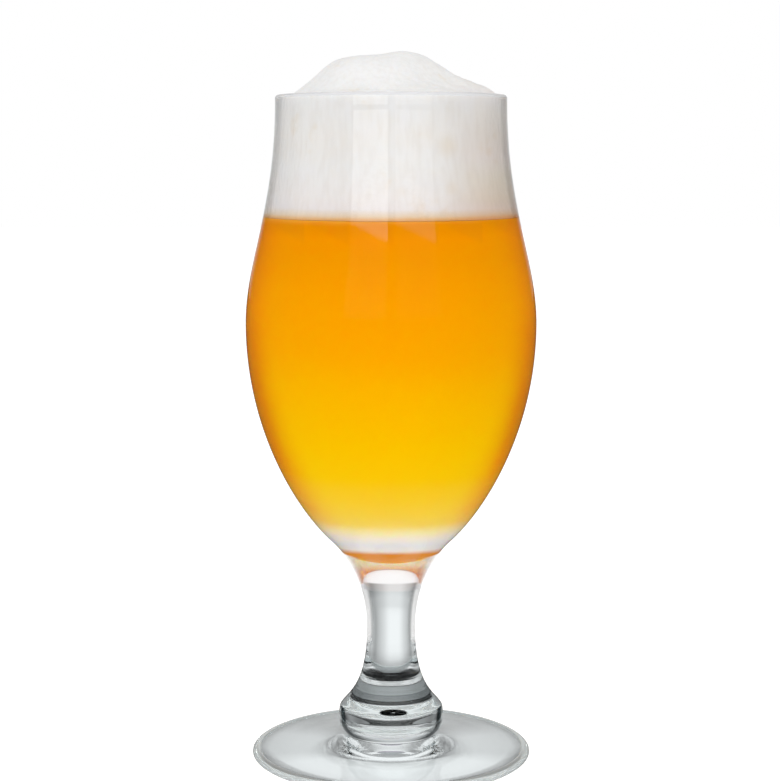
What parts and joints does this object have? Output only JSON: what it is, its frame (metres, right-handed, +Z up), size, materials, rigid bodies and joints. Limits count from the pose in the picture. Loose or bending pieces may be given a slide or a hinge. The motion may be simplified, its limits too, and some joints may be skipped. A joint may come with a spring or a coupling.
{
  "type": "stemmed beer glass",
  "caption": "Clear stemmed beer glass with a tulip-shaped bowl, short waisted stem, collar and round foot, filled with golden beer under a domed head of foam.",
  "frame": {"origin": "centre of the foot on the table plane, at the bottom of the glass", "axes": "+Z up along the axis that the glass is turned about, +X to the right as in the picture, -Y towards its camera"},
  "size_m": [0.08, 0.08, 0.1958],
  "materials": {
    "glass_bowl": "clear soda-lime glass, blown, fire-polished lip",
    "glass_stem": "clear solid glass, drawn",
    "glass_collar": "clear solid glass, pressed",
    "glass_foot": "clear glass, pressed, polished edge",
    "beer": "slightly hazy golden beer, paler towards the floor",
    "foam": "fine dense white foam"
  },
  "bodies": {
    "root": {"bowl": "glass_bowl", "stem": "glass_stem", "foot_collar": "glass_collar", "foot": "glass_foot", "beer": "beer", "foam_head": "foam"}
  },
  "joints": []
}
